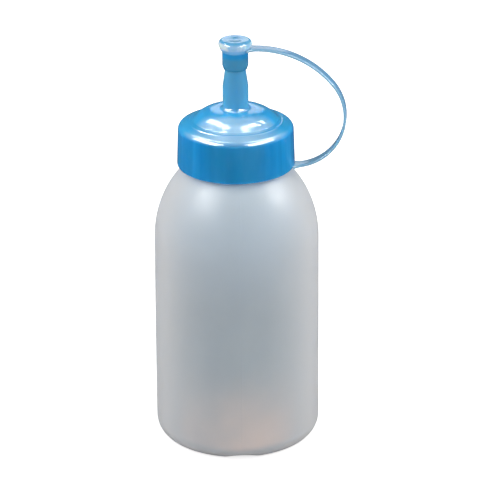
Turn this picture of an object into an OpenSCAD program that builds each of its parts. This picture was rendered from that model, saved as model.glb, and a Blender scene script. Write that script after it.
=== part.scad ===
// Squeeze wash bottle: blow-moulded body, seal ring, screw closure with a straight nozzle,
// and a tip cap held to the closure by a curved strap. Millimetres, +Z up.
// The origin is on the bottle's axis, on the plane that the bottle stands on.

/* [Bottle] */
// Outside diameter of the body
body_d = 60; // [57:0.5:63]
// Height at which the straight side ends and the shoulder begins
side_top = 78; // [60:0.1:90]
// Radius of the rounded heel
heel_r = 7.3; // [5:0.1:8.5]
// Height of the domed shoulder if it ran in to the axis
shoulder_h = 34.6; // [32:0.1:40]
// Thickness of the side wall and shoulder
wall = 1; // [0.7:0.1:1.3]
// Thickness of the base and heel
base_t = 1.8; // [1.5:0.1:2.4]
// Height of the hollow under the base
push_up = 2.6; // [1.5:0.1:4]
// Inside diameter of the ring that the bottle stands on
ring_d = 39.2; // [34:0.1:40]
// Width of the mould's parting notch across the heel
notch_w = 15; // [9:0.5:17]
// Depth of the parting notch
notch_depth = 1; // [0.4:0.1:1]
// Angle of the mould's parting plane about the axis
parting_turn = 8; // [-45:0.5:45]

/* [Neck] */
// Outside diameter of the neck
neck_d = 35.6; // [35:0.1:36]
// Bore of the neck
neck_bore_d = 32; // [30:0.1:33]
// Height of the neck above the shoulder
neck_h = 11.7; // [11.2:0.1:12.6]
// Thread pitch, one start
pitch = 4.2; // [4:0.1:4.6]
// Turns of thread on the neck and in the closure
thread_turns = 1.25; // [0.75:0.05:1.3]
// Diameter over the neck's thread
neck_thread_d = 37.9; // [37.6:0.1:38.1]
// Diameter inside the closure's thread
cap_thread_d = 36.3; // [36.1:0.1:36.8]

/* [Seal] */
// Thickness of the seal ring
seal_t = 1; // [0.8:0.1:1.4]
// Width of the seal ring
seal_w = 3.6; // [2.6:0.1:3.8]

/* [Closure] */
// Diameter of the skirt at its lower edge
skirt_d = 42.8; // [42:0.1:44]
// Diameter of the skirt at its upper corner
skirt_top_d = 41.8; // [41.4:0.1:42]
// Bore of the skirt
skirt_bore_d = 38.6; // [38.5:0.1:38.9]
// Length of the skirt below the bottle's lip
skirt_drop = 12; // [11.5:0.1:12.2]
// Radius of the corner between skirt and ledge
corner_r = 2.4; // [1.5:0.1:3]
// Height of the flat deck round the nozzle, above the bottle's lip
deck_h = 9.8; // [9.5:0.1:10.2]
// Radius of the flat deck
deck_r = 6.6; // [6.2:0.1:7]
// Radius of the dome that falls from the deck
dome_r = 11.6; // [11:0.1:12]
// Steepest angle of the dome
dome_angle = 43; // [42:1:46]
// Height of the ledge round the dome above the lip, at its middle
ledge_h = 4.5; // [4.2:0.1:4.8]
// Angle of the ledge below horizontal
ledge_angle = 22; // [18:1:26]
// Thickness of the roof
roof_t = 1.8; // [1.4:0.1:2.2]

/* [Nozzle] */
// Diameter of the nozzle at its base
nozzle_d = 9.3; // [9:0.1:9.8]
// Height of the nozzle's straight foot above the deck
nozzle_foot = 8.6; // [7:0.1:9]
// Height of the nozzle's tapered part
nozzle_taper_h = 11.2; // [10.4:0.1:12]
// Diameter of the nozzle at its tip
nozzle_tip_d = 6.1; // [5.8:0.1:6.6]
// Diameter of the outlet
outlet_d = 3; // [2.6:0.1:3.4]
// Radius of the fillet round the nozzle's foot
foot_fillet = 1.4; // [0.6:0.1:1.5]

/* [Tip cap] */
// Outside diameter of the sleeve
sleeve_d = 9.4; // [9.2:0.1:10]
// Length of the sleeve over the nozzle
sleeve_l = 4.8; // [4:0.1:5.4]
// Diameter of the button head
head_d = 12.1; // [11:0.1:13]
// Height of the button head
head_h = 4.2; // [3.8:0.1:5.2]
// Clearance between the socket and the nozzle
fit_gap = 0.1; // [0.08:0.01:0.15]
// Length of the plug that closes the outlet
plug_l = 2.2; // [1.5:0.1:2.6]

/* [Strap] */
// Width of the strap
strap_w = 4.8; // [3.6:0.1:5.4]
// Thickness of the strap
strap_t = 0.95; // [0.7:0.05:1.2]
// Angle at which the strap rises from the head
strap_rise = 4.7; // [0:0.1:10]
// Angle at which the strap dips into the skirt
strap_dip = 9; // [6:0.5:20]
// Part of the loop's turn that is on the wide upper arc
upper_turn = 55.4; // [50:0.1:66]
// Length of the straight lead at the skirt
strap_lead = 2.5; // [1.5:0.1:3.5]
// Gap between the two halves of the strap at its living hinge
hinge_gap = 1; // [0.8:0.1:1.5]

/* [Hidden] */
$fn = 120;

MILKY = [0.74, 0.79, 0.84];
BLUE = [0.2, 0.56, 0.8];
PALE_BLUE = [0.5, 0.7, 0.88];

body_r = body_d / 2;
neck_r = neck_d / 2;
neck_bore_r = neck_bore_d / 2;
shoulder_z = side_top + shoulder_h * sin(acos(neck_r / body_r));
lip_z = shoulder_z + neck_h;
land_z = lip_z + seal_t;

// Thread form: a ridge that narrows from root to crest
ridge_root_w = 2;
ridge_crest_w = 1;
root_embed = 0.25;
thread_low = 2;
thread_steps = round(40 * thread_turns);
fade_turns = 0.07;
fade_floor = 0.12;
neck_thread_z = shoulder_z + thread_low;
// At rest the closure is tight: its ridge sits close under the neck's ridge
ridge_offset = 1.4;

// Closure. Its roof is a flat deck, a dome that ends in a short steep step, and a sloping ledge.
skirt_r = skirt_d / 2;
skirt_top_r = skirt_top_d / 2;
skirt_bore_r = skirt_bore_d / 2;
skirt_z = lip_z - skirt_drop;
skirt_edge_r = 1.5;
ledge_x = 18.6;
land_inner_r = 16.2;
nozzle_r = nozzle_d / 2;
tip_r = nozzle_tip_d / 2;
tip_round = 0.4;
outlet_r = outlet_d / 2;
outlet_foot_r = 3;
deck_z = lip_z + deck_h;
foot_z = deck_z + nozzle_foot;
nozzle_z = foot_z + nozzle_taper_h;

// Tip cap
sleeve_r = sleeve_d / 2;
sleeve_z = nozzle_z - sleeve_l;
sleeve_chamfer = 1.6;
sleeve_top = 2.1;
sleeve_cove = 0.35;
socket_room = 0.2;
plug_gap = 0.12;
plug_taper = 0.23;
plug_root_r = outlet_r - plug_gap;
plug_end_r = plug_root_r - plug_taper;
head_r = head_d / 2;
head_z = nozzle_z + sleeve_top;
head_top_z = head_z + head_h;
head_low_r = sleeve_r + sleeve_cove;
head_mid_z = head_z + 0.6 * head_h;
head_shoulder = 1.6;
head_flat_r = head_r - head_shoulder;
head_round = [0.8, 1.2];
dimple_depth = 0.35;

// Strap: two tangent arcs and a straight lead. Their radii close the loop between head and skirt.
strap_bury = 0.5;
strap_level = 0.17 * head_h;
strap_start = [head_r - strap_bury, head_z + strap_level];
strap_end = [skirt_r - strap_bury, skirt_z + strap_t / 2];
lower_turn = 180 + strap_rise - strap_dip - upper_turn;
middle_heading = strap_rise - upper_turn;
end_heading = middle_heading - lower_turn;
lead = strap_lead * [cos(end_heading), sin(end_heading)];
reach = strap_end - lead - strap_start;
upper_unit = arc_step(strap_rise, upper_turn);
lower_unit = arc_step(middle_heading, lower_turn);
upper_radius = cross2(reach, lower_unit) / cross2(upper_unit, lower_unit);
lower_radius = cross2(upper_unit, reach) / cross2(upper_unit, lower_unit);
strap_middle = strap_start + upper_radius * upper_unit;
strap_facet = 2.5;

// The living hinge is on the upper arc, level with the middle of the sleeve's grip
upper_centre = strap_start + upper_radius * [sin(strap_rise), -cos(strap_rise)];
hinge_z = (sleeve_z + nozzle_z) / 2;
hinge_turn = 90 + strap_rise - asin((hinge_z - upper_centre.y) / upper_radius);
hinge_at = strap_point(hinge_turn);
gap_turn = hinge_gap / upper_radius * 180 / PI;

function cross2(a, b) = a.x * b.y - a.y * b.x;
function nozzle_radius(z) = nozzle_r - (nozzle_r - tip_r) * (z - foot_z) / nozzle_taper_h;

// Points of an ellipse's arc in a profile, as [radius, height]
function arc(centre, rx, rz, from, to, steps) =
    [for (i = [0:steps]) let (a = from + (to - from) * i / steps) centre + [rx * cos(a), rz * sin(a)]];

// Displacement along a clockwise arc of radius 1 that starts on heading h and turns through t
function arc_step(h, t) = [sin(h) - sin(h - t), cos(h - t) - cos(h)];

// The strap's middle line, and the direction square to it, after turning through t from the head
function strap_point(t) = t < upper_turn
    ? strap_start + upper_radius * arc_step(strap_rise, t)
    : strap_middle + lower_radius * arc_step(middle_heading, t - upper_turn);
function strap_normal(t) = [sin(t - strap_rise), cos(t - strap_rise)];
function strap_side(from, to, steps, out) =
    [for (i = [0:steps]) let (t = from + (to - from) * i / steps) strap_point(t) + out * strap_normal(t)];

// A smooth dome that falls from its full height on the axis to nothing at radius r
function dome(base, height, r, steps) =
    [for (i = [0:steps]) [r * i / steps, base + height * pow(cos(90 * i / steps), 2)]];

// Points that round the corner between two stretches of a profile
function rounded(before, corner, after, radius, steps) =
    let (
        a = (before - corner) / norm(before - corner),
        b = (after - corner) / norm(after - corner),
        half = acos(a * b) / 2,
        centre = corner + (a + b) / norm(a + b) * radius / sin(half),
        first = corner + a * radius / tan(half) - centre,
        turn = (180 - 2 * half) * sign(cross2(a, first))
    )
    [for (i = [0:steps]) let (t = turn * i / steps)
        centre + [first.x * cos(t) - first.y * sin(t), first.x * sin(t) + first.y * cos(t)]];

function reversed(list) = [for (i = [len(list) - 1:-1:0]) list[i]];

module revolve(outline) {
    rotate_extrude() polygon(outline);
}

// One-start helical ridge from root radius to crest radius, faded in and out at its ends
module thread_ridge(root_r, crest_r, start_z) {
    sections = [
        for (i = [0:thread_steps])
            let (
                turn = thread_turns * i / thread_steps,
                grow = min(1, fade_floor + min(turn, thread_turns - turn) / fade_turns),
                r = root_r + (crest_r - root_r) * grow,
                z = start_z + pitch * turn,
                a = 360 * turn
            )
            for (p = [
                [root_r, z - ridge_root_w / 2],
                [r, z - ridge_crest_w / 2],
                [r, z + ridge_crest_w / 2],
                [root_r, z + ridge_root_w / 2]
            ])
            [p.x * cos(a), p.x * sin(a), p.y]
    ];
    // Corners run anticlockwise for a ridge that points outwards and the other way for one that points in
    sides = crest_r > root_r ? [0, 1, 2, 3] : [3, 2, 1, 0];
    last = 4 * thread_steps;
    walls = [
        for (i = [0:thread_steps - 1])
            for (k = [0:3])
                let (a = 4 * i + sides[k], b = 4 * i + sides[(k + 1) % 4])
                for (face = [[a, b, b + 4], [a, b + 4, a + 4]])
                face
    ];
    ends = [
        [sides[0], sides[2], sides[1]],
        [sides[0], sides[3], sides[2]],
        [last + sides[0], last + sides[1], last + sides[2]],
        [last + sides[0], last + sides[2], last + sides[3]]
    ];
    polyhedron(sections, concat(walls, ends), convexity = 6);
}

module bottle_outside() {
    lip_round = 0.5;
    revolve(concat(
        dome(0, push_up, ring_d / 2, 10),
        arc([body_r - heel_r, heel_r], heel_r, heel_r, -90, 0, 12),
        arc([0, side_top], body_r, shoulder_h, 0, acos(neck_r / body_r), 16),
        arc([neck_r - lip_round, lip_z - lip_round], lip_round, lip_round, 0, 90, 4),
        [[0, lip_z]]
    ));
}

module bottle_inside() {
    inner_r = body_r - wall;
    inner_heel_r = heel_r - (wall + base_t) / 2;
    inner_shoulder_h = shoulder_h - wall;
    over_lip = 1;
    revolve(concat(
        dome(base_t, push_up, ring_d / 2, 10),
        arc([inner_r - inner_heel_r, base_t + inner_heel_r], inner_heel_r, inner_heel_r, -90, 0, 10),
        arc([0, side_top], inner_r, inner_shoulder_h, 0, acos(neck_bore_r / inner_r), 14),
        [[neck_bore_r, lip_z + over_lip], [0, lip_z + over_lip]]
    ));
}

// Shallow channel where the halves of the mould met, from the standing ring out across the heel
module parting_notch() {
    groove_r = (pow(notch_w / 2, 2) + pow(notch_depth, 2)) / (2 * notch_depth);
    ring_left = 1.2;
    start_r = ring_d / 2 + ring_left;
    slope = 18;
    length = 14;
    translate([start_r, 0, 0])
        rotate([0, 90 - slope, 0])
        translate([groove_r, 0, 0])
        cylinder(r = groove_r, h = length);
}

module bottle() {
    color(MILKY) {
        difference() {
            union() {
                bottle_outside();
                thread_ridge(neck_r - root_embed, neck_thread_d / 2, neck_thread_z);
            }
            bottle_inside();
            for (side = [0, 180])
                rotate([0, 0, parting_turn - 90 + side]) parting_notch();
        }
    }
}

module seal_ring() {
    bore_gap = 0.5;
    outer_r = skirt_bore_r - bore_gap;
    bead = 0.3;
    color("ghostwhite")
        revolve([
            [outer_r - seal_w, lip_z],
            [outer_r - bead, lip_z],
            [outer_r, lip_z + seal_t / 2],
            [outer_r - bead, land_z],
            [outer_r - seal_w, land_z]
        ]);
}

// Outer envelope of skirt, roof and nozzle, solid to the axis
module cap_outside() {
    step_fillet = 0.9;
    edge = [skirt_r, skirt_z];
    ledge_end = [ledge_x, lip_z + ledge_h];
    corner = [skirt_top_r, ledge_end.y - (skirt_top_r - ledge_x) * tan(ledge_angle)];
    dome_end = [deck_r + dome_r * sin(dome_angle), deck_z - dome_r * (1 - cos(dome_angle))];
    step_run = (dome_end.y - ledge_end.y + (dome_end.x - ledge_x) * tan(ledge_angle))
        / (tan(dome_angle) - tan(ledge_angle));
    step = dome_end + step_run * [1, -tan(dome_angle)];
    nozzle_root = [nozzle_r, deck_z];
    revolve(concat(
        [[0, skirt_z]],
        rounded([0, skirt_z], edge, corner, skirt_edge_r, 6),
        rounded(edge, corner, step, corner_r, 8),
        rounded(corner, step, dome_end, step_fillet, 4),
        arc([deck_r, deck_z - dome_r], dome_r, dome_r, 90 - dome_angle, 90, 10),
        rounded([deck_r, deck_z], nozzle_root, [nozzle_r, foot_z], foot_fillet, 4),
        [[nozzle_r, foot_z]],
        arc([tip_r - tip_round, nozzle_z - tip_round], tip_round, tip_round, 10, 90, 4),
        [[0, nozzle_z]]
    ));
}

// Bore of the skirt, hollow under the roof, and the outlet
module cap_inside() {
    inner_dome_r = dome_r - roof_t;
    past = 1;
    revolve(concat(
        [
            [0, skirt_z - past],
            [skirt_bore_r, skirt_z - past],
            [skirt_bore_r, land_z],
            [land_inner_r, land_z],
            [land_inner_r, lip_z + ledge_h - roof_t]
        ],
        arc([deck_r, deck_z - dome_r], inner_dome_r, inner_dome_r, 90 - dome_angle, 90, 6),
        [
            [outlet_foot_r, deck_z - roof_t],
            [outlet_r, nozzle_z],
            [outlet_r, nozzle_z + past],
            [0, nozzle_z + past]
        ]
    ));
}

module nozzle_cap() {
    color(BLUE) {
        difference() {
            cap_outside();
            cap_inside();
        }
        thread_ridge(skirt_bore_r + root_embed, cap_thread_d / 2, neck_thread_z - ridge_offset);
    }
}

// Outer envelope of sleeve and button head, solid to the axis
module tip_outside() {
    rim_t = 0.35;
    lip_r = nozzle_radius(sleeve_z) + fit_gap + rim_t;
    underside = 90 - atan((head_mid_z - head_z) / (head_r - head_low_r));
    dimple_rim = 0.4;
    revolve(concat(
        [[0, sleeve_z], [lip_r, sleeve_z], [sleeve_r, sleeve_z + sleeve_chamfer]],
        [[sleeve_r, head_z - sleeve_cove], [head_low_r, head_z]],
        arc([head_r - head_round.x, head_mid_z], head_round.x, head_round.y, -underside, 0, 5),
        arc([head_flat_r, head_mid_z], head_shoulder, head_top_z - head_mid_z, 0, 90, 9),
        reversed(dome(head_top_z, -dimple_depth, head_flat_r - dimple_rim, 6))
    ));
}

// Tapered socket for the nozzle's tip, with the plug left standing in its middle
module tip_socket() {
    past = 1;
    roof = nozzle_z + socket_room;
    revolve([
        [0, sleeve_z - past],
        [nozzle_radius(sleeve_z - past) + fit_gap, sleeve_z - past],
        [nozzle_radius(nozzle_z) + fit_gap, nozzle_z],
        [nozzle_radius(nozzle_z) + fit_gap, roof],
        [plug_root_r, roof],
        [plug_end_r, nozzle_z - plug_l],
        [0, nozzle_z - plug_l]
    ]);
}

module tip_cap() {
    color(PALE_BLUE)
        difference() {
            tip_outside();
            tip_socket();
        }
}

// The strap's flat section along the loop from one turn to another, carried on straight by a tail
module strap_ribbon(from, to, tail) {
    steps = ceil((to - from) / strap_facet);
    end_heading = strap_rise - to;
    tail_end = strap_point(to) + tail * [cos(end_heading), sin(end_heading)];
    rotate([90, 0, 0])
        linear_extrude(strap_w, center = true)
        polygon(concat(
            strap_side(from, to, steps, strap_t / 2),
            [for (side = [1, -1]) tail_end + side * strap_t / 2 * strap_normal(to)],
            reversed(strap_side(from, to, steps, -strap_t / 2))
        ));
}

// Half of the strap from the living hinge to the tip cap, with a round end on the hinge's axis
module strap_upper() {
    color(PALE_BLUE)
        difference() {
            union() {
                strap_ribbon(0, hinge_turn, strap_t / 8);
                translate([hinge_at.x, 0, hinge_at.y])
                    rotate([90, 0, 0])
                    cylinder(d = strap_t, h = strap_w, center = true, $fn = 32);
            }
            tip_outside();
        }
}

// Half of the strap from the living hinge round to the skirt's lower edge
module strap_lower() {
    tail_past = 1;
    gusset = 2.2;
    gusset_t = strap_t + 0.4;
    gusset_r = skirt_r - 1;
    color(BLUE)
        difference() {
            union() {
                strap_ribbon(hinge_turn + gap_turn, upper_turn + lower_turn, strap_lead + tail_past);
                // Flared root that carries the strap into the skirt
                translate([0, 0, skirt_z])
                    linear_extrude(gusset_t)
                    polygon([
                        [gusset_r, -strap_w / 2 - gusset / 2],
                        [skirt_r + gusset, -strap_w / 2],
                        [skirt_r + gusset, strap_w / 2],
                        [gusset_r, strap_w / 2 + gusset / 2]
                    ]);
            }
            cap_outside();
        }
}

bottle();
seal_ring();
nozzle_cap();
strap_lower();
strap_upper();
tip_cap();
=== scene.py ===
import math

import bpy
import numpy as np
from mathutils import Matrix, Vector


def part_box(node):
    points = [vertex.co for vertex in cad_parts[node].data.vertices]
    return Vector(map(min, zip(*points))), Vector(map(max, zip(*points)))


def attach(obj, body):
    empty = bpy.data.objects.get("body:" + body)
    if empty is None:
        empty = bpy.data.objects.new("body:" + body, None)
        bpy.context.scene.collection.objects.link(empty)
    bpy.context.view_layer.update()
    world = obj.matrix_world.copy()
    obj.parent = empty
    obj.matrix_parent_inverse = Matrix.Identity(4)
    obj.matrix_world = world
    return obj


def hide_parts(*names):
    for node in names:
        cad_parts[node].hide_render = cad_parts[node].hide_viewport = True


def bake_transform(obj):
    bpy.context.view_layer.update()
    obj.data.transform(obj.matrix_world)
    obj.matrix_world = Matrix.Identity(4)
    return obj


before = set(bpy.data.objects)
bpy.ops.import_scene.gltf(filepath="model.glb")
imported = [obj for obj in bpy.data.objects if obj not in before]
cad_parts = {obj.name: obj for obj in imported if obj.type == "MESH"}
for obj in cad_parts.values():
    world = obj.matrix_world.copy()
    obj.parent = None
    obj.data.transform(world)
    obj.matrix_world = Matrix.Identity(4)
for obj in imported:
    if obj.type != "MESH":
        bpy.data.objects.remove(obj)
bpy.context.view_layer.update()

# The looks of a squeeze wash bottle: a milky blown bottle with a blue closure, strap and tip cap.
# Sizes are in millimetres and follow the CAD. The main heights and radii are read from the boxes
# of the CAD nodes.
MM = 0.001

# Points closer than this are at the same radius, or on the axis
SAME_R = 0.01
ON_AXIS = 1e-6


def box_mm(node):
    """Lowest and highest corner of a CAD node."""
    low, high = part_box(node)
    return low / MM, high / MM


BOTTLE_HIGH = box_mm("bottle")[1]
SEAL_HIGH = box_mm("seal_ring")[1]
CAP_LOW, CAP_HIGH = box_mm("nozzle_cap")
TIP_LOW, TIP_HIGH = box_mm("tip_cap")

# Bottle
BODY_R = BOTTLE_HIGH.x
LIP_Z = BOTTLE_HIGH.z
SIDE_TOP = 78.0
HEEL_R = 7.3
SHOULDER_H = 34.6
WALL = 1.0
BASE_T = 1.8
PUSH_UP = 2.6
RING_R = 19.6
NECK_R = 17.8
NECK_BORE_R = 16.0
LIP_ROUND = 0.5
LIP_BORE_ROUND = 0.4
SHOULDER_Z = SIDE_TOP + SHOULDER_H * math.sin(math.acos(NECK_R / BODY_R))

# The blown wall's waves: height, number round the bottle, phase, and rise for a lean of a radian
WAVES = ((0.05, 2, 0.7, 31.0), (0.03, 5, 0.0, -17.0))
WAVE_FADE = 12.0

# The mould's parting line, and its notch across the heel
PARTING_TURN = math.radians(8.0)
PARTING_RIDGE = 0.05
PARTING_W = 0.22
PARTING_FADE = 3.0
FAN_COUNT = 4
FAN_NUDGE = 0.1
NOTCH_W = 15.0
NOTCH_DEPTH = 1.0
NOTCH_START = RING_R + 1.2
NOTCH_SLOPE = math.radians(18)
NOTCH_R = ((NOTCH_W / 2) ** 2 + NOTCH_DEPTH ** 2) / (2 * NOTCH_DEPTH)

# Thread: one ridge on the neck, and one in the closure that sits a little under it
PITCH = 4.2
TURNS = 1.25
FADE_TURNS = 0.07
RIDGE_ROOT_W = 2.0
RIDGE_CREST_W = 1.0
RIDGE_OFFSET = 1.4
NECK_THREAD_R = 18.95
CAP_THREAD_R = 18.15
THREAD_LOW = 2.0
THREAD_Z = SHOULDER_Z + THREAD_LOW
THREAD_STEP = 0.22

# Closure
SKIRT_Z = CAP_LOW.z
SKIRT_R = 21.4
SKIRT_TOP_R = 20.9
SKIRT_BORE_R = 19.3
SKIRT_EDGE_R = 1.5
CHAMFER_R = 0.2
CHAMFER_H = 0.3
CORNER_R = 2.4
LAND_Z = SEAL_HIGH.z
LAND_INNER_R = 16.2
LEDGE_X = 18.6
LEDGE_Z = LIP_Z + 4.5
LEDGE_SLOPE = math.tan(math.radians(22.0))
BEAD_R = 17.0
BEAD_W = 0.45
BEAD_H = 0.08
BEAD_FOOT_ROUND = 0.3
BEAD_CREST_ROUND = 0.25
STEP_ROUND = 0.7
DOME_R = 11.6
DOME_END = math.radians(43.0)
DECK_R = 6.6
DECK_Z = LIP_Z + 9.8
ROOF_T = 1.8

# Nozzle
NOZZLE_Z = CAP_HIGH.z
NOZZLE_R = 4.65
NOZZLE_TIP_R = 3.05
TAPER_H = 11.2
FOOT_Z = NOZZLE_Z - TAPER_H
FOOT_FILLET = 1.4
FOOT_MARGIN = 0.5
TIP_ROUND = 0.4
OUTLET_R = 1.5
OUTLET_FOOT_R = 3.0
OUTLET_RIM_H = 1.0
OUTLET_RIM_TAPER = 0.05

# Tip cap
HEAD_TOP_Z = TIP_HIGH.z
HEAD_R = TIP_HIGH.x
HEAD_H = 4.2
HEAD_Z = HEAD_TOP_Z - HEAD_H
HEAD_MID_Z = HEAD_Z + 0.6 * HEAD_H
HEAD_SHOULDER = 1.6
HEAD_ROUND_R = 0.8
HEAD_ROUND_H = 1.2
DIMPLE_DEPTH = 0.35
DIMPLE_RIM = 2.0
COVE_R = 0.35
COVE_START = (0.3, 0.55)
COVE_DROP = 0.4
COVE_ROUND = 0.5
SLEEVE_Z = TIP_LOW.z
SLEEVE_R = 4.7
SLEEVE_CHAMFER = 1.6
SLEEVE_CHAMFER_ROUND = 1.0
SLEEVE_RIM = 0.45
SLEEVE_RIM_ROUND = 0.15
FIT_GAP = 0.1
SOCKET_ROOM = 0.2
SOCKET_ROUND = 0.1
PLUG_L = 2.2
PLUG_ROOT_GAP = 0.12
PLUG_END_GAP = 0.35

# Strap. Each flare is the part by which it widens or thickens and the length over which it does.
STRAP_W = 4.8
STRAP_T = 0.95
STRAP_EDGE = 0.42
STRAP_BURY = 0.5
STRAP_LEVEL = 0.17 * HEAD_H
STRAP_LEAD = 2.5
STRAP_RISE = math.radians(4.7)
STRAP_DIP = math.radians(9.0)
UPPER_TURN = math.radians(55.4)
HEAD_ROOT = 1.3
HEAD_FLARE = (0.25, 2.2)
SKIRT_FLARE = (0.42, 3.2)
SKIRT_THICKENING = (0.25, 2.5)
STRAP_RINGS = 220


# ---------------------------------------------------------------- profiles

def arc(centre, rx, rz, start, end, steps):
    """Points on an ellipse's arc, angles in degrees, as (radius, height)."""
    angles = np.radians(np.linspace(start, end, steps + 1))
    return [(centre[0] + rx * math.cos(a), centre[1] + rz * math.sin(a)) for a in angles]


def rounded(corners, steps=5):
    """A path through corners (x, z, radius) with each corner replaced by an arc of that radius."""
    path = []
    last = len(corners) - 1
    for i, (x, z, radius) in enumerate(corners):
        here = Vector((x, z))
        if radius == 0 or i in (0, last):
            path.append((x, z))
            continue
        before = (Vector(corners[i - 1][:2]) - here).normalized()
        after = (Vector(corners[i + 1][:2]) - here).normalized()
        half = before.angle(after) / 2
        reach = radius / math.tan(half)
        centre = here + (before + after).normalized() * radius / math.sin(half)
        a = here + before * reach - centre
        b = here + after * reach - centre
        turn = a.angle_signed(b)
        for k in range(steps + 1):
            c, s = math.cos(-turn * k / steps), math.sin(-turn * k / steps)
            path.append((centre.x + a.x * c - a.y * s, centre.y + a.x * s + a.y * c))
    return path


def refined(path, step):
    """The path with its long stretches split into pieces no longer than step."""
    fine = [path[0]]
    for a, b in zip(path, path[1:]):
        parts = max(1, math.ceil(math.dist(a, b) / step))
        fine += [(a[0] + (b[0] - a[0]) * k / parts, a[1] + (b[1] - a[1]) * k / parts)
                 for k in range(1, parts + 1)]
    return fine


def dome(base, height, r, steps):
    """A smooth dome from the axis out to radius r, or a dimple where the height is negative."""
    return [(r * i / steps, base + height * math.cos(math.pi / 2 * i / steps) ** 2)
            for i in range(steps + 1)]


def on_ledge(x, rise=0.0):
    """The point of the closure's sloping ledge at radius x, raised by rise."""
    return x, LEDGE_Z - (x - LEDGE_X) * LEDGE_SLOPE + rise


def nozzle_radius(z):
    """Radius of the nozzle's taper at a height."""
    return NOZZLE_R - (NOZZLE_R - NOZZLE_TIP_R) * (z - FOOT_Z) / TAPER_H


# ---------------------------------------------------------------- meshes

def add_mesh(name, points, faces):
    """A smooth-shaded object from points in millimetres."""
    mesh = bpy.data.meshes.new(name)
    mesh.from_pydata([tuple(p) for p in np.asarray(points) * MM], [], faces)
    mesh.validate()
    mesh.shade_smooth()
    piece = bpy.data.objects.new(name, mesh)
    bpy.context.scene.collection.objects.link(piece)
    return piece


def join_rings(low, high):
    """Faces between two rings of vertices. A ring that repeats one vertex gives triangles."""
    faces = []
    for j in range(len(low)):
        k = (j + 1) % len(low)
        quad = [low[j], low[k], high[k], high[j]]
        face = [v for n, v in enumerate(quad) if v not in quad[:n]]
        if len(face) > 2:
            faces.append(face)
    return faces


def lathe(name, profile, segments, closed=False, shape=None, extra=()):
    """Turns a profile of (radius, height) about the axis. Points on the axis become one vertex.
    shape(r, z, angle) gives the radius and height to use, so that threads and seams are part of
    the skin. extra holds more angles, for fine detail that runs up the piece."""
    angles = np.linspace(0, 2 * math.pi, segments, endpoint=False)
    angles = np.sort(np.concatenate([angles, np.asarray(extra) % (2 * math.pi)]))
    count = len(angles)
    points, rings = [], []
    for r, z in profile:
        if r < ON_AXIS:
            rings.append([len(points)] * count)
            points.append((0.0, 0.0, z))
            continue
        radius = np.full(count, float(r))
        height = np.full(count, float(z))
        if shape is not None:
            radius, height = shape(radius, height, angles)
        rings.append(list(range(len(points), len(points) + count)))
        points += list(zip(radius * np.cos(angles), radius * np.sin(angles), height))
    faces = []
    for low, high in zip(rings, rings[1:] + rings[:1] if closed else rings[1:]):
        faces += join_rings(low, high)
    return add_mesh(name, points, faces)


def thread_height(z, angle, start_z):
    """0 off the one-start ridge to 1 on its crest."""
    height = np.zeros_like(angle)
    for whole in range(math.ceil(TURNS) + 1):
        turn = whole + angle / (2 * math.pi)
        off = np.abs(z - start_z - PITCH * turn)
        flank = np.clip((RIDGE_ROOT_W / 2 - off) / ((RIDGE_ROOT_W - RIDGE_CREST_W) / 2), 0, 1)
        fade = np.clip(np.minimum(turn, TURNS - turn) / FADE_TURNS, 0, 1)
        height = np.maximum(height, flank * flank * (3 - 2 * flank) * fade)
    return height


# ---------------------------------------------------------------- bottle

def outer_radius(z):
    """Radius of the bottle's outer skin, without its details."""
    heel = BODY_R - HEEL_R + np.sqrt(np.clip(HEEL_R ** 2 - (HEEL_R - z) ** 2, 0, None))
    rise = np.clip((z - SIDE_TOP) / SHOULDER_H, 0, 1)
    shoulder = np.maximum(BODY_R * np.sqrt(1 - rise ** 2), NECK_R)
    return np.where(z < HEEL_R, heel, np.where(z < SIDE_TOP, BODY_R, shoulder))


def waviness(z, angle):
    """The slight waves of a blown wall, which fade out at the base and below the neck."""
    fade = np.clip(z / WAVE_FADE, 0, 1) * np.clip((SHOULDER_Z - z) / WAVE_FADE, 0, 1)
    waves = [height * np.sin(count * angle + phase + z / lean) for height, count, phase, lean in WAVES]
    return sum(waves) * fade


def off_parting(angle):
    """Angle from the nearer side of the mould's parting plane."""
    return (angle - PARTING_TURN) % math.pi - math.pi / 2


def parting_ridge(z, across):
    """Height of the parting line, at a distance across it."""
    return PARTING_RIDGE * np.exp(-(across / PARTING_W) ** 2) * np.clip(z / PARTING_FADE, 0, 1)


def notch_height(along, across):
    """Height of the notch's round roof, which slopes up from the ring that the bottle stands on."""
    drop = NOTCH_R - np.sqrt(np.maximum(NOTCH_R ** 2 - across ** 2, 0))
    return (along - NOTCH_START) * math.tan(NOTCH_SLOPE) - drop / math.cos(NOTCH_SLOPE)


def bottle_shape(r, z, angle):
    """Adds the neck's thread, and to the outer skin its waves, parting line and heel notch."""
    neck = (z > SHOULDER_Z) & (r > NECK_R - SAME_R)
    r = np.where(neck, r + (NECK_THREAD_R - NECK_R) * thread_height(z, angle, THREAD_Z), r)
    skin = (r > outer_radius(z) - WALL / 4) & (z < SHOULDER_Z)
    across = r * np.sin(off_parting(angle))
    r = np.where(skin, r + waviness(z, angle) + parting_ridge(z, across), r)
    along = r * np.cos(off_parting(angle))
    under = skin & (z < HEEL_R) & (along > NOTCH_START)
    return r, np.where(under, np.maximum(z, notch_height(along, across)), z)


def parting_fan():
    """Angles close to the parting line, at both sides of the bottle. The nudge keeps them off the
    lathe's own angles."""
    steps = [math.copysign(abs(k) + FAN_NUDGE, k) for k in range(-FAN_COUNT, FAN_COUNT + 1)]
    return [side + PARTING_TURN + step * PARTING_W / 2 / BODY_R
            for side in (-math.pi / 2, math.pi / 2) for step in steps]


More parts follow.
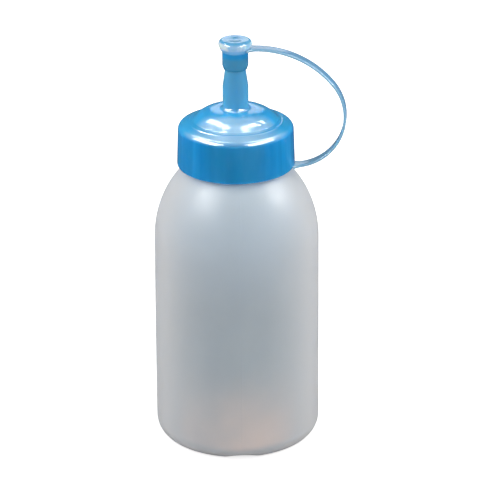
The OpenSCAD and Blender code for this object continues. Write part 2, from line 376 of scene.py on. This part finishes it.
def bottle_shell():
    """Up the outside from the middle of the base to the lip, and back down the inside."""
    outside = (
        dome(0, PUSH_UP, RING_R, steps=16)
        + refined([(RING_R, 0), (BODY_R - HEEL_R, 0)], step=0.8)[1:-1]
        + arc((BODY_R - HEEL_R, HEEL_R), HEEL_R, HEEL_R, -90, 0, steps=20)
        + refined([(BODY_R, HEEL_R), (BODY_R, SIDE_TOP)], step=3)[1:-1]
        + arc((0, SIDE_TOP), BODY_R, SHOULDER_H, 0, math.degrees(math.acos(NECK_R / BODY_R)), steps=34)
        + refined([(NECK_R, SHOULDER_Z), (NECK_R, LIP_Z - LIP_ROUND)], THREAD_STEP)[1:-1]
        + arc((NECK_R - LIP_ROUND, LIP_Z - LIP_ROUND), LIP_ROUND, LIP_ROUND, 0, 90, steps=5)
    )
    inner_r = BODY_R - WALL
    heel_r = HEEL_R - (WALL + BASE_T) / 2
    bore_turn = math.degrees(math.acos(NECK_BORE_R / inner_r))
    lip_centre = (NECK_BORE_R + LIP_BORE_ROUND, LIP_Z - LIP_BORE_ROUND)
    inside = (
        dome(BASE_T, PUSH_UP, RING_R, steps=12)
        + arc((inner_r - heel_r, BASE_T + heel_r), heel_r, heel_r, -90, 0, steps=12)
        + refined([(inner_r, BASE_T + heel_r), (inner_r, SIDE_TOP)], step=6)[1:-1]
        + arc((0, SIDE_TOP), inner_r, SHOULDER_H - WALL, 0, bore_turn, steps=20)
        + arc(lip_centre, LIP_BORE_ROUND, LIP_BORE_ROUND, 180, 90, steps=4)
    )
    return lathe("bottle_shell", outside + inside[::-1], segments=256, shape=bottle_shape,
                 extra=parting_fan())


# ---------------------------------------------------------------- closure

def cap_shape(r, z, angle):
    """Adds the thread's ridge inside the skirt."""
    in_bore = (np.abs(r - SKIRT_BORE_R) < SAME_R) & (z < LAND_Z)
    ridge = thread_height(z, angle, THREAD_Z - RIDGE_OFFSET)
    return np.where(in_bore, r - (SKIRT_BORE_R - CAP_THREAD_R) * ridge, r), z


def step_top():
    """Where the dome ends and the short steep step down to the ledge begins."""
    return DECK_R + DOME_R * math.sin(DOME_END), DECK_Z - DOME_R * (1 - math.cos(DOME_END))


def step_foot_radius():
    """Radius at which the step meets the ledge."""
    x, z = step_top()
    slope = math.tan(DOME_END)
    return (z - LEDGE_Z + x * slope - LEDGE_X * LEDGE_SLOPE) / (slope - LEDGE_SLOPE)


def closure_shell():
    """Up the outside from the skirt's lower edge to the nozzle's tip, and back down the inside."""
    profile = (
        rounded([
            (SKIRT_BORE_R + CHAMFER_R, SKIRT_Z, 0),
            (SKIRT_R, SKIRT_Z, SKIRT_EDGE_R),
            (*on_ledge(SKIRT_TOP_R), CORNER_R),
            (*on_ledge(BEAD_R + BEAD_W), BEAD_FOOT_ROUND),
            (*on_ledge(BEAD_R, BEAD_H), BEAD_CREST_ROUND),
            (*on_ledge(BEAD_R - BEAD_W), BEAD_FOOT_ROUND),
            (*on_ledge(step_foot_radius()), STEP_ROUND),
            (*step_top(), 0),
        ], steps=8)[:-1]
        + arc((DECK_R, DECK_Z - DOME_R), DOME_R, DOME_R, 90 - math.degrees(DOME_END), 90, steps=20)
        + rounded([
            (DECK_R - FOOT_MARGIN, DECK_Z, 0),
            (NOZZLE_R, DECK_Z, FOOT_FILLET),
            (NOZZLE_R, FOOT_Z, 0),
        ], steps=8)
        + refined([(NOZZLE_R, FOOT_Z), (NOZZLE_TIP_R, NOZZLE_Z - TIP_ROUND)], step=2)[1:-1]
        + arc((NOZZLE_TIP_R - TIP_ROUND, NOZZLE_Z - TIP_ROUND), TIP_ROUND, TIP_ROUND, 10, 90, steps=5)
        + [(OUTLET_R, NOZZLE_Z), (OUTLET_R + OUTLET_RIM_TAPER, NOZZLE_Z - OUTLET_RIM_H)]
        + [(OUTLET_FOOT_R, DECK_Z - ROOF_T), (DECK_R, DECK_Z - ROOF_T)]
        + [(LAND_INNER_R, LEDGE_Z - ROOF_T), (LAND_INNER_R, LAND_Z)]
        + refined([(SKIRT_BORE_R, LAND_Z), (SKIRT_BORE_R, SKIRT_Z + CHAMFER_H)], THREAD_STEP)
    )
    return lathe("closure_shell", profile, segments=224, closed=True, shape=cap_shape)


# ---------------------------------------------------------------- tip cap

def tip_cap_shell():
    """A dimpled button head, a sleeve with a tapered socket, and the plug. The profile is drawn
    from the head's top to the plug's end, and turned the other way so that the skin faces out."""
    head_low_r = SLEEVE_R + COVE_R
    underside = 90 - math.degrees(math.atan((HEAD_MID_Z - HEAD_Z) / (HEAD_R - head_low_r)))
    head_rise = HEAD_TOP_Z - HEAD_MID_Z
    sleeve_bore_r = nozzle_radius(SLEEVE_Z)
    socket_roof = NOZZLE_Z + SOCKET_ROOM
    profile = (
        dome(HEAD_TOP_Z, -DIMPLE_DEPTH, HEAD_R - DIMPLE_RIM, steps=8)
        + arc((HEAD_R - HEAD_SHOULDER, HEAD_MID_Z), HEAD_SHOULDER, head_rise, 90, 0, steps=12)
        + arc((HEAD_R - HEAD_ROUND_R, HEAD_MID_Z), HEAD_ROUND_R, HEAD_ROUND_H, 0, -underside, steps=6)[1:]
        + rounded([
            (head_low_r + COVE_START[0], HEAD_Z + COVE_START[1], 0),
            (SLEEVE_R, HEAD_Z - COVE_DROP, COVE_ROUND),
            (SLEEVE_R, SLEEVE_Z + SLEEVE_CHAMFER, SLEEVE_CHAMFER_ROUND),
            (sleeve_bore_r + SLEEVE_RIM, SLEEVE_Z, SLEEVE_RIM_ROUND),
            (sleeve_bore_r + FIT_GAP, SLEEVE_Z, SOCKET_ROUND),
            (NOZZLE_TIP_R + FIT_GAP, socket_roof, 0),
        ])
        + [(OUTLET_R - PLUG_ROOT_GAP, socket_roof)]
        + [(OUTLET_R - PLUG_END_GAP, NOZZLE_Z - PLUG_L), (0, NOZZLE_Z - PLUG_L)]
    )
    return lathe("tip_cap_shell", profile[::-1], segments=128)


# ---------------------------------------------------------------- strap

def ray(heading):
    """Unit step in a heading, in the strap's plane of (x, z)."""
    return Vector((math.cos(heading), math.sin(heading)))


def arc_step(heading, turn):
    """Step from start to end of a clockwise arc of radius 1 that starts in a heading."""
    return Vector((math.sin(heading) - math.sin(heading - turn),
                   math.cos(heading - turn) - math.cos(heading)))


# The strap is two arcs and a straight lead. Their radii close the loop between head and skirt.
STRAP_START = Vector((HEAD_R - STRAP_BURY, HEAD_Z + STRAP_LEVEL))
STRAP_END = Vector((SKIRT_R - STRAP_BURY, SKIRT_Z + STRAP_T / 2))
LOWER_TURN = math.pi + STRAP_RISE - STRAP_DIP - UPPER_TURN
MIDDLE_HEADING = STRAP_RISE - UPPER_TURN
END_HEADING = MIDDLE_HEADING - LOWER_TURN
ARCS_REACH = STRAP_END - STRAP_LEAD * ray(END_HEADING) - STRAP_START
UPPER_UNIT = arc_step(STRAP_RISE, UPPER_TURN)
LOWER_UNIT = arc_step(MIDDLE_HEADING, LOWER_TURN)
UPPER_ARC_R = ARCS_REACH.cross(LOWER_UNIT) / UPPER_UNIT.cross(LOWER_UNIT)
LOWER_ARC_R = UPPER_UNIT.cross(ARCS_REACH) / UPPER_UNIT.cross(LOWER_UNIT)
UPPER_L = UPPER_ARC_R * UPPER_TURN
LOWER_L = LOWER_ARC_R * LOWER_TURN
STRAP_L = UPPER_L + LOWER_L + STRAP_LEAD


def strap_at(s):
    """Point and heading at a distance s from the head. Below 0 the strap is inside the head."""
    if s <= 0:
        return STRAP_START + s * ray(STRAP_RISE), STRAP_RISE
    if s <= UPPER_L:
        turn = s / UPPER_ARC_R
        return STRAP_START + UPPER_ARC_R * arc_step(STRAP_RISE, turn), STRAP_RISE - turn
    if s <= UPPER_L + LOWER_L:
        turn = (s - UPPER_L) / LOWER_ARC_R
        middle = STRAP_START + UPPER_ARC_R * UPPER_UNIT
        return middle + LOWER_ARC_R * arc_step(MIDDLE_HEADING, turn), MIDDLE_HEADING - turn
    return STRAP_END - (STRAP_L - s) * ray(END_HEADING), END_HEADING


def strap_section(width, thick):
    """Flat section with rounded edges, as (across, up)."""
    corner = thick * STRAP_EDGE
    section = []
    for side, face, start in ((1, 1, 0), (-1, 1, 90), (-1, -1, 180), (1, -1, 270)):
        centre = (side * (width / 2 - corner), face * (thick / 2 - corner))
        section += arc(centre, corner, corner, start, start + 90, steps=4)
    return section


def near_end(distance, flare):
    """How near to an end a place is: 0 beyond the flare's length, 1 at the end, more past it."""
    return max(0.0, 1 - distance / flare[1])


def strap_ribbon():
    """Rings of the section along the path, wider at both ends and thicker at the skirt."""
    points, rings = [], []
    for s in np.linspace(-HEAD_ROOT, STRAP_L, STRAP_RINGS).tolist():
        centre, heading = strap_at(s)
        to_skirt = STRAP_L - s
        widening = (SKIRT_FLARE[0] * near_end(to_skirt, SKIRT_FLARE) ** 2
                    + HEAD_FLARE[0] * near_end(s, HEAD_FLARE) ** 2)
        thickening = SKIRT_THICKENING[0] * near_end(to_skirt, SKIRT_THICKENING)
        normal = Vector((-math.sin(heading), math.cos(heading)))
        section = strap_section(STRAP_W * (1 + widening), STRAP_T * (1 + thickening))
        rings.append(list(range(len(points), len(points) + len(section))))
        for across, up in section:
            place = centre + normal * up
            points.append((place.x, across, place.y))
    faces = [rings[0][::-1], rings[-1]]
    for low, high in zip(rings, rings[1:]):
        faces += join_rings(low, high)
    return add_mesh("strap_ribbon", points, faces)


def blend_strap(piece):
    """Bakes the strap's placement into its mesh."""
    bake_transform(piece)


# ---------------------------------------------------------------- pieces

bottle = bottle_shell()
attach(bottle, "bottle")
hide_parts("bottle")

closure = closure_shell()
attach(closure, "closure")
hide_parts("nozzle_cap")

tip = tip_cap_shell()
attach(tip, "tip")
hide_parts("tip_cap")

strap = strap_ribbon()
blend_strap(strap)
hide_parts("strap_lower", "strap_upper")


# ---------------------------------------------------------------- materials

# The Mix node's sockets for colours
MIX_A, MIX_B, MIX_RESULT = 6, 7, 2


class Nodes:
    """Short names for building a material's node tree."""

    def __init__(self, name):
        self.material = bpy.data.materials.new(name)
        self.material.use_nodes = True
        self.tree = self.material.node_tree
        self.shader = self.tree.nodes["Principled BSDF"]
        self.place = self.add("ShaderNodeTexCoord").outputs["Object"]

    def add(self, kind, **values):
        node = self.tree.nodes.new(kind)
        for key, value in values.items():
            setattr(node, key, value)
        return node

    def link(self, a, b):
        self.tree.links.new(a, b)

    def noise(self, scale, detail=3.0, rough=0.5, stretch=(1, 1, 1)):
        """Noise with scale features to a metre, drawn out along the axes that stretch is low on."""
        mapping = self.add("ShaderNodeMapping")
        mapping.inputs["Scale"].default_value = stretch
        self.link(self.place, mapping.inputs["Vector"])
        node = self.add("ShaderNodeTexNoise")
        node.inputs["Scale"].default_value = scale
        node.inputs["Detail"].default_value = detail
        node.inputs["Roughness"].default_value = rough
        self.link(mapping.outputs["Vector"], node.inputs["Vector"])
        return node.outputs["Fac"]

    def remap(self, value, low, high, to_low=0, to_high=1):
        """A smooth step of the value, from to_low at low to to_high at high."""
        node = self.add("ShaderNodeMapRange", interpolation_type="SMOOTHSTEP")
        node.inputs["From Min"].default_value = low
        node.inputs["From Max"].default_value = high
        node.inputs["To Min"].default_value = to_low
        node.inputs["To Max"].default_value = to_high
        self.link(value, node.inputs["Value"])
        return node.outputs["Result"]

    def level(self, at, start, end, below=0, above=1):
        """A smooth step in height. Start and end are in millimetres over the height at."""
        split = self.add("ShaderNodeSeparateXYZ")
        self.link(self.place, split.inputs["Vector"])
        return self.remap(split.outputs["Z"], (at + start) * MM, (at + end) * MM, below, above)

    def facing(self):
        """0 where the surface faces the eye, 1 where it is seen edge on."""
        return self.add("ShaderNodeLayerWeight").outputs["Facing"]

    def mix(self, factor, a, b):
        node = self.add("ShaderNodeMix", data_type="RGBA")
        self.link(factor, node.inputs["Factor"])
        for socket, value in ((MIX_A, a), (MIX_B, b)):
            if isinstance(value, tuple):
                node.inputs[socket].default_value = (*value, 1)
            else:
                self.link(value, node.inputs[socket])
        return node.outputs[MIX_RESULT]

    def multiply(self, a, b):
        node = self.add("ShaderNodeMath", operation="MULTIPLY")
        self.link(a, node.inputs[0])
        self.link(b, node.inputs[1])
        return node.outputs["Value"]

    def colour(self, value):
        self.link(value, self.shader.inputs["Base Color"])

    def roughness(self, noise, smooth, rough):
        """Roughness that varies from smooth to rough with a noise."""
        self.link(self.remap(noise, 0.3, 0.7, smooth, rough), self.shader.inputs["Roughness"])

    def bump(self, *layers):
        """Layers of (height, distance in metres, strength), finest last."""
        normal = None
        for height, distance, strength in layers:
            node = self.add("ShaderNodeBump")
            node.inputs["Distance"].default_value = distance
            node.inputs["Strength"].default_value = strength
            self.link(height, node.inputs["Height"])
            if normal is not None:
                self.link(normal, node.inputs["Normal"])
            normal = node.outputs["Normal"]
        self.link(normal, self.shader.inputs["Normal"])

    def set(self, **values):
        for key, value in values.items():
            self.shader.inputs[key.replace("_", " ")].default_value = value


PLASTIC_IOR = 1.51

# Colours are linear red, green and blue
MILK_DARK = (0.405, 0.475, 0.54)
MILK_LIGHT = (0.46, 0.53, 0.59)
MILK_SHOULDER_PAINTED_LIGHT = (0.54, 0.65, 0.785)
MILK_NECK_PAINTED_LIGHT = (0.56, 0.68, 0.81)
MILK_EDGE_PAINTED_SHEEN = (0.65, 0.67, 0.705)
MILK_BASE_PAINTED_GLOW = (0.76, 0.67, 0.65)


def milky_plastic():
    """Cloudy grey-blue, with painted light: paler and bluer up the shoulder and under the neck, a
    painted sheen that is paler edge on, and a faint warm painted glow in patches near the base."""
    n = Nodes("milky_plastic")
    edge = n.facing()
    cloud = n.remap(n.noise(26, 4, 0.55, (1, 1, 0.6)), 0.3, 0.7)
    tone = n.mix(cloud, MILK_DARK, MILK_LIGHT)
    # Painted light: the shoulder, which faces up to the light, paler and bluer
    tone = n.mix(n.level(SIDE_TOP, -23, 22), tone, MILK_SHOULDER_PAINTED_LIGHT)
    # Painted light: lighter still just under the neck, against the shade that the closure's skirt casts there
    tone = n.mix(n.level(SIDE_TOP, 17, 27), tone, MILK_NECK_PAINTED_LIGHT)
    # Painted sheen: paler where the wall is seen edge on
    tone = n.mix(n.remap(edge, 0.0, 0.62, 0, 0.8), tone, MILK_EDGE_PAINTED_SHEEN)
    # Painted glow: warm light through the wall near the base, strongest where the wall faces the eye, in
    # patches
    low = n.multiply(n.level(0, 4, 42, 1, 0), n.remap(edge, 0.1, 0.45, 1, 0.1))
    patch = n.remap(n.noise(34, 2), 0.35, 0.65, 0.5, 1)
    n.colour(n.mix(n.multiply(low, patch), tone, MILK_BASE_PAINTED_GLOW))
    n.roughness(n.noise(120), 0.38, 0.48)
    n.bump((n.noise(45, 2), 0.004, 0.05), (n.noise(1500, 2), 0.0003, 0.08))
    n.set(IOR=PLASTIC_IOR, Subsurface_Weight=0.7, Subsurface_Radius=(1.0, 1.1, 1.25), Subsurface_Scale=0.003)
    return n.material


PIGMENT_SWIRL = (0.12, 0.5, 0.85)


def blue_plastic(name, tone, roughness, transmission, scatter):
    """Translucent blue plastic. tone(nodes) gives its colour before the swirls of the pigment."""
    n = Nodes(name)
    swirl = n.remap(n.noise(70, 4, 0.6, (1, 1, 0.35)), 0.3, 0.7, 0, 0.2)
    n.colour(n.mix(swirl, tone(n), PIGMENT_SWIRL))
    n.roughness(n.noise(260), roughness * 0.8, roughness * 1.3)
    n.bump((n.noise(110, 2), 0.002, 0.015), (n.noise(2200, 2), 0.0002, 0.04))
    n.set(IOR=PLASTIC_IOR, Transmission_Weight=transmission)
    n.set(Subsurface_Weight=scatter, Subsurface_Radius=(0.4, 0.9, 1.4), Subsurface_Scale=0.0025)
    return n.material


SKIRT_DEEP = (0.004, 0.3, 0.68)
SKIRT_STREAK = (0.012, 0.38, 0.8)
SKIRT_SHADE_OVER_NECK = (0.016, 0.27, 0.51)
ROOF_EDGE_ON = (0.02, 0.5, 0.95)
ROOF_PAINTED_GLOW = (0.42, 0.73, 1.0)
NOZZLE_PAINTED_SHADE_MIDDLE = (0.1, 0.4, 0.63)
NOZZLE_PAINTED_LIGHT_SIDE = (0.13, 0.49, 0.76)
NOZZLE_STREAK = (0.08, 0.4, 0.72)


def closure_tone(n):
    """Deep blue skirt with faint upright streaks and painted shade, darker and greyer where it faces the
    eye over the neck, a roof with painted light, paler where it is looked straight through, and a
    greyer thin-walled nozzle with painted shade, darker in the middle than at its sides."""
    facing = n.facing()
    streak = n.remap(n.noise(260, 2, 0.5, (1, 1, 0.02)), 0.35, 0.65)
    skirt = n.mix(streak, SKIRT_DEEP, SKIRT_STREAK)
    # Painted shade: darker and greyer where the skirt faces the eye, for the neck behind it and the dark
    # front it reflects
    skirt = n.mix(n.remap(facing, 0.09, 0.24, 0.7, 0), skirt, SKIRT_SHADE_OVER_NECK)
    # Painted light: the roof paler where it faces the eye, for the backdrop's light shining through it and
    # reflected in it
    roof = n.mix(n.remap(facing, 0.3, 0.56, 1, 0), ROOF_EDGE_ON, ROOF_PAINTED_GLOW)
    # Painted shade and light: the nozzle darker in the middle and lighter towards its sides, so that it looks
    # round
    nozzle = n.mix(n.remap(facing, 0.02, 0.4), NOZZLE_PAINTED_SHADE_MIDDLE, NOZZLE_PAINTED_LIGHT_SIDE)
    nozzle = n.mix(n.multiply(streak, n.remap(facing, 0.0, 0.5, 0.25, 0.5)), nozzle, NOZZLE_STREAK)
    cap = n.mix(n.level(LEDGE_Z, -2.55, -0.25), skirt, roof)
    return n.mix(n.level(DECK_Z, -0.05, 0.45), cap, nozzle)


SLEEVE_RIM_PAINTED_SHADE = (0.01, 0.18, 0.36)
SLEEVE_BLUE = (0.06, 0.29, 0.5)
SLEEVE_TOP_DEEP = (0.01, 0.3, 0.66)
HEAD_LOW = (0.2, 0.5, 0.8)
HEAD_PAINTED_HIGHLIGHT_BLUE = (0.4, 0.66, 0.9)
HEAD_PAINTED_HIGHLIGHT_WHITE = (0.84, 0.92, 0.97)
HEAD_TOP = (0.16, 0.51, 0.83)


def tip_tone(n):
    """A blue sleeve with painted shade on its lower rim, and a painted highlight, a pale streaked band,
    round a blue-topped head.
    """
    streak = n.remap(n.noise(330, 2, 0.5, (1, 1, 0.05)), 0.4, 0.62)
    # Painted highlight: a pale band round the head's side, white in streaks, for light through its thin rim
    # and the cards' reflections
    painted_highlight = n.mix(streak, HEAD_PAINTED_HIGHLIGHT_BLUE, HEAD_PAINTED_HIGHLIGHT_WHITE)
    # Painted shade: the sleeve darker at its lower rim
    tone = n.mix(n.level(SLEEVE_Z, -0.15, 0.85), SLEEVE_RIM_PAINTED_SHADE, SLEEVE_BLUE)
    tone = n.mix(n.level(NOZZLE_Z, -0.95, 0.65), tone, SLEEVE_TOP_DEEP)
    tone = n.mix(n.level(HEAD_Z, -0.75, 0.35), tone, HEAD_LOW)
    tone = n.mix(n.level(HEAD_Z, 0.65, 1.55), tone, painted_highlight)
    return n.mix(n.level(HEAD_TOP_Z, -1.05, -0.35), tone, HEAD_TOP)


STRAP_LOW_PAINTED_LIGHT = (0.32, 0.58, 0.71)
STRAP_HIGH = (0.2, 0.44, 0.68)
STRAP_CUT_EDGE = (0.34, 0.58, 0.76)


def strap_tone(n):
    """Grey-blue faces with painted light, lighter towards the skirt, and cut edges paler where light
    leaves the thin section.
    """
    split = n.add("ShaderNodeSeparateXYZ")
    n.link(n.add("ShaderNodeTexCoord").outputs["Normal"], split.inputs["Vector"])
    sideways = n.add("ShaderNodeMath", operation="ABSOLUTE")
    n.link(split.outputs["Y"], sideways.inputs[0])
    # Painted light: the faces lighter towards the skirt, against the shade they stand in there
    face = n.mix(n.level(SKIRT_Z, 0.45, 16.45), STRAP_LOW_PAINTED_LIGHT, STRAP_HIGH)
    return n.mix(n.remap(sideways.outputs["Value"], 0.35, 0.85), face, STRAP_CUT_EDGE)


FOAM_GREY = (0.78, 0.79, 0.78)
FOAM_WHITE = (0.9, 0.9, 0.88)


def foam():
    """Off-white foam with a fine grain."""
    n = Nodes("seal_foam")
    n.colour(n.mix(n.noise(900), FOAM_GREY, FOAM_WHITE))
    n.roughness(n.noise(700, 2), 0.7, 0.9)
    n.bump((n.noise(2500), 0.0003, 0.3))
    return n.material


def dress(piece, material):
    """Gives a piece one material."""
    piece.data.materials.clear()
    piece.data.materials.append(material)


dress(bottle, milky_plastic())
dress(closure, blue_plastic("blue_closure", closure_tone, roughness=0.14, transmission=0.2, scatter=0.5))
dress(tip, blue_plastic("blue_tip", tip_tone, roughness=0.14, transmission=0.1, scatter=0.5))
dress(strap, blue_plastic("blue_strap", strap_tone, roughness=0.2, transmission=0.15, scatter=0.3))
dress(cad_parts["seal_ring"], foam())


# ---------------------------------------------------------------- studio
# The cards' and the camera's places are in metres, and the floor's in millimetres like a piece's.

CARD_DISTANCE = 0.8
CARD_AIM = Vector((0, 0, 0.11))


def card(name, start, end, width, radiance, pieces=()):
    """A bright strip that only shows in reflections, of some pieces or of all. It runs between two
    directions as seen from the bottle's upper half, and faces it."""
    start, end = Vector(start).normalized(), Vector(end).normalized()
    length = (end - start).length * CARD_DISTANCE
    data = bpy.data.lights.new(name, "AREA")
    data.shape = "RECTANGLE"
    data.size, data.size_y = length, width
    data.energy = radiance * math.pi * length * width
    outward = (start + end).normalized()
    along = (end - start).normalized()
    lamp = bpy.data.objects.new(name, data)
    axes = Matrix((along, outward.cross(along), outward)).transposed()
    lamp.matrix_world = Matrix.Translation(CARD_AIM + outward * CARD_DISTANCE) @ axes.to_4x4()
    lamp.visible_diffuse = False
    lamp.visible_transmission = False
    bpy.context.scene.collection.objects.link(lamp)
    if pieces:
        lit = bpy.data.collections.new(name + "_lit")
        for piece in pieces:
            lit.objects.link(piece)
        lamp.light_linking.receiver_collection = lit


def cards():
    """Strips at both sides, two more for the bottle's shoulder, and faint ones behind and overhead."""
    for side in (-1, 1):
        card("top_card", (0.17 * side, -0.25, 0.93), (0.55 * side, 0.5, 0.66),
             width=0.2, radiance=20, pieces=(closure, bottle, strap))
        card("side_card", (0.41 * side, -0.85, 0.32), (0.75 * side, 0.13, 0.6),
             width=0.4, radiance=38, pieces=(closure,))
        card("small_card", (0.53 * side, -0.76, 0.36), (0.75 * side, 0.13, 0.64),
             width=0.34, radiance=20, pieces=(tip, strap))
    card("shoulder_left", (-0.57, -0.55, 0.65), (-0.69, -0.25, 0.66),
         width=0.2, radiance=46, pieces=(bottle,))
    card("shoulder_right", (0.8, -0.12, 0.6), (0.85, 0.2, 0.58),
         width=0.2, radiance=36, pieces=(bottle,))
    card("back_card", (-0.25, 0.92, 0.4), (0.15, 0.92, 0.4),
         width=0.26, radiance=1.8)
    card("overhead_card", (-0.28, 0.45, 0.89), (0.28, 0.45, 0.89),
         width=0.18, radiance=3, pieces=(closure,))
    card("front_card", (-0.2, -0.1, 0.97), (0.2, -0.1, 0.97),
         width=0.36, radiance=2, pieces=(closure,))


WORLD_FRONT = 0.5
WORLD_SIDES = 2.3
WORLD_IN_GLOSS = 0.12
WORLD_SEEN = 1.0


def studio_world():
    """White behind the object. For light it is bright at both sides and lower at the front and
    back, and for reflections it is dim all over, so that the cards stand out."""
    world = bpy.data.worlds.new("studio")
    world.use_nodes = True
    tree = world.node_tree
    background = tree.nodes["Background"]

    def node(kind, *inputs, **values):
        """A node with its inputs set or linked in order. None leaves an input as it is."""
        made = tree.nodes.new(kind)
        for key, value in values.items():
            setattr(made, key, value)
        for socket, value in zip(made.inputs, inputs):
            if isinstance(value, bpy.types.NodeSocket):
                tree.links.new(value, socket)
            elif value is not None:
                socket.default_value = value
        return made.outputs[0]

    coord = tree.nodes.new("ShaderNodeTexCoord")
    split = tree.nodes.new("ShaderNodeSeparateXYZ")
    tree.links.new(coord.outputs["Generated"], split.inputs["Vector"])
    x, z = split.outputs["X"], split.outputs["Z"]
    smooth = {"interpolation_type": "SMOOTHSTEP"}
    sideways = node("ShaderNodeMath", x, operation="ABSOLUTE")
    beside = node("ShaderNodeMapRange", sideways, 0.25, 0.8, 0.0, 1.0, **smooth)
    low = node("ShaderNodeMapRange", z, 0.2, 0.6, 1.0, 0.35, **smooth)
    light = node("ShaderNodeMath", beside, low, operation="MULTIPLY")
    level = node("ShaderNodeMapRange", light, 0.0, 1.0, WORLD_FRONT, WORLD_SIDES)
    path = tree.nodes.new("ShaderNodeLightPath").outputs
    unlit = node("ShaderNodeMix", path["Is Glossy Ray"], None, level, WORLD_IN_GLOSS)
    straight = node("ShaderNodeMath", path["Is Camera Ray"], path["Is Transmission Ray"], operation="MAXIMUM")
    seen = node("ShaderNodeMix", straight, None, unlit, WORLD_SEEN)
    tree.links.new(seen, background.inputs["Color"])
    bpy.context.scene.world = world


FLOOR_R = 900
FLOOR_CORNERS = 64
FLOOR_PALE = (0.86, 0.865, 0.87)
FLOOR_WHITE = (0.9, 0.9, 0.9)
FLOOR_AS_LIGHT = (0.6, 0.58, 0.57)
FLOOR_IN_GLOSS = (0.08, 0.08, 0.08)


def floor_material():
    """White to the camera. It throws less light on the object and is dark in reflections."""
    n = Nodes("floor_white")
    n.colour(n.mix(n.noise(4, 2), FLOOR_PALE, FLOOR_WHITE))
    n.set(Roughness=0.6, Emission_Color=(1, 1, 1, 1), Emission_Strength=0.7)
    path = n.add("ShaderNodeLightPath")
    unseen = n.add("ShaderNodeBsdfDiffuse")
    n.link(n.mix(path.outputs["Is Glossy Ray"], FLOOR_AS_LIGHT, FLOOR_IN_GLOSS), unseen.inputs["Color"])
    choose = n.add("ShaderNodeMixShader")
    n.link(path.outputs["Is Camera Ray"], choose.inputs[0])
    n.link(unseen.outputs[0], choose.inputs[1])
    n.link(n.shader.outputs[0], choose.inputs[2])
    n.link(choose.outputs[0], n.tree.nodes["Material Output"].inputs["Surface"])
    return n.material


def floor():
    """A plain round floor under the object."""
    turns = [2 * math.pi * k / FLOOR_CORNERS for k in range(FLOOR_CORNERS)]
    ring = [(FLOOR_R * math.cos(turn), FLOOR_R * math.sin(turn), 0) for turn in turns]
    sheet = add_mesh("floor", ring, [list(range(FLOOR_CORNERS))])
    dress(sheet, floor_material())


CAMERA_AZIMUTH = math.radians(5.0)
CAMERA_ELEVATION = math.radians(22.0)
CAMERA_ROLL = math.radians(0.42)
CAMERA_DISTANCE = 1.3
CAMERA_AIM = Vector((0, 0, 0.07))
LENS = 255.5
LENS_SHIFT = (0.0266, 0.011)


def camera():
    """Looks down at the object from the front and a little from the right, rolled very slightly."""
    flat = math.cos(CAMERA_ELEVATION)
    back = Vector((math.sin(CAMERA_AZIMUTH) * flat, -math.cos(CAMERA_AZIMUTH) * flat,
                   math.sin(CAMERA_ELEVATION)))
    right = Vector((math.cos(CAMERA_AZIMUTH), math.sin(CAMERA_AZIMUTH), 0))
    up = back.cross(right)
    rolled_right = right * math.cos(CAMERA_ROLL) - up * math.sin(CAMERA_ROLL)
    rolled_up = right * math.sin(CAMERA_ROLL) + up * math.cos(CAMERA_ROLL)
    axes = Matrix((rolled_right, rolled_up, back)).transposed()
    data = bpy.data.cameras.new("camera")
    data.sensor_width = 36
    data.lens = LENS
    data.shift_x, data.shift_y = LENS_SHIFT
    data.clip_start, data.clip_end = 0.05, 20
    eye = bpy.data.objects.new("camera", data)
    eye.matrix_world = Matrix.Translation(CAMERA_AIM + back * CAMERA_DISTANCE) @ axes.to_4x4()
    bpy.context.scene.collection.objects.link(eye)
    bpy.context.scene.camera = eye


cards()
studio_world()
floor()
camera()
bpy.context.scene.view_settings.view_transform = "Standard"
